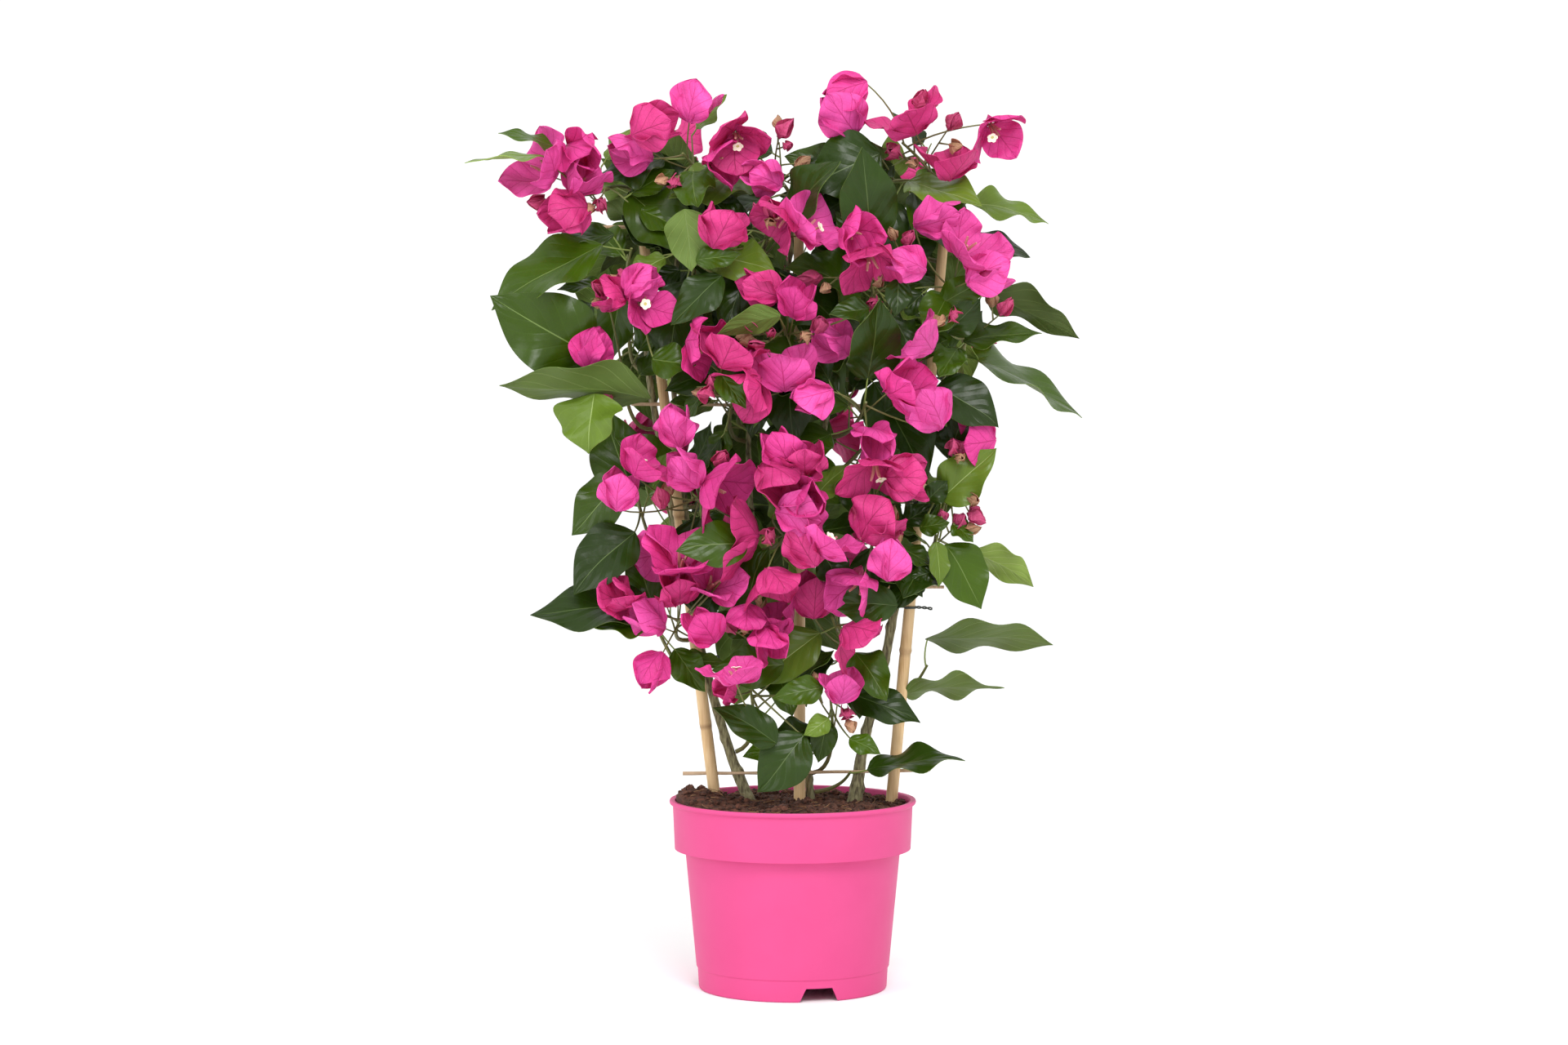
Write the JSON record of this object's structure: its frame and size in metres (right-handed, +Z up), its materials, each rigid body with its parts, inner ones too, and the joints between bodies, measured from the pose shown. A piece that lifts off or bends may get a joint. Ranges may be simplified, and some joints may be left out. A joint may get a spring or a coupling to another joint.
{
  "type": "potted bougainvillea bush",
  "caption": "Flowering climber trained up a fan-shaped bamboo rack in a banded, tapered round plastic pot, with glossy pointed leaves and clusters of papery pink bracts.",
  "frame": {"origin": "on the pot's axis at the floor it stands on", "axes": "+Z up along the plant; +X to the right and +Y away when the plant is looked at from its front; the bamboo rack lies in a plane across Y"},
  "size_m": [0.4175, 0.2474, 0.6294],
  "materials": {
    "pot_plastic": "satin injection-moulded polypropylene, pink",
    "peat": "damp crumbly peat, dark brown",
    "bamboo": "smooth dry bamboo, straw coloured",
    "split_bamboo": "thin round split bamboo, raw",
    "bark": "grey-green young bark with leaf scars",
    "tie_paper": "dark paper-covered wire tie",
    "leaves": "glossy deep green leaves",
    "bracts": "papery magenta-pink bracts"
  },
  "bodies": {
    "root": {"pot": "pot_plastic", "soil": "peat", "cane_left": "bamboo", "cane_middle": "bamboo", "cane_right": "bamboo", "bar_foot": "split_bamboo", "bar_low": "split_bamboo", "bar_high": "split_bamboo", "bar_top": "split_bamboo", "left_stem": "bark", "middle_stem": "bark", "right_stem": "bark", "left_bough": "bark", "right_bough": "bark", "tie_left": "tie_paper", "tie_middle": "tie_paper", "tie_right_low": "tie_paper", "tie_right_mid": "tie_paper", "tie_right_high": "tie_paper", "crest_right": "bracts", "crest_middle": "leaves", "crest_left": "leaves", "far_left": "bracts", "upper_centre": "leaves", "upper_left": "leaves", "upper_right_centre": "leaves", "upper_right": "leaves", "right_bloom": "bracts", "left_upper": "leaves", "left_buds": "bracts", "mid_centre": "leaves", "mid_right": "leaves", "left_mid": "leaves", "centre": "bracts", "centre_right": "leaves", "right_mid": "leaves", "left_bloom": "bracts", "left_low": "leaves", "centre_bloom": "bracts", "right_centre": "bracts", "right_small": "leaves", "right_low": "leaves", "low_left_bloom": "bracts", "low_centre": "leaves", "low_right": "leaves", "low_far_left": "leaves", "foot_left": "leaves", "foot_right": "leaves", "foot_far_right": "leaves", "base_shoot": "leaves", "back_top_left": "leaves", "back_top_right": "leaves", "back_upper": "leaves", "back_left": "leaves", "back_right": "leaves", "back_centre": "leaves", "back_right_mid": "leaves", "back_left_mid": "leaves", "back_low": "leaves"}
  },
  "joints": []
}
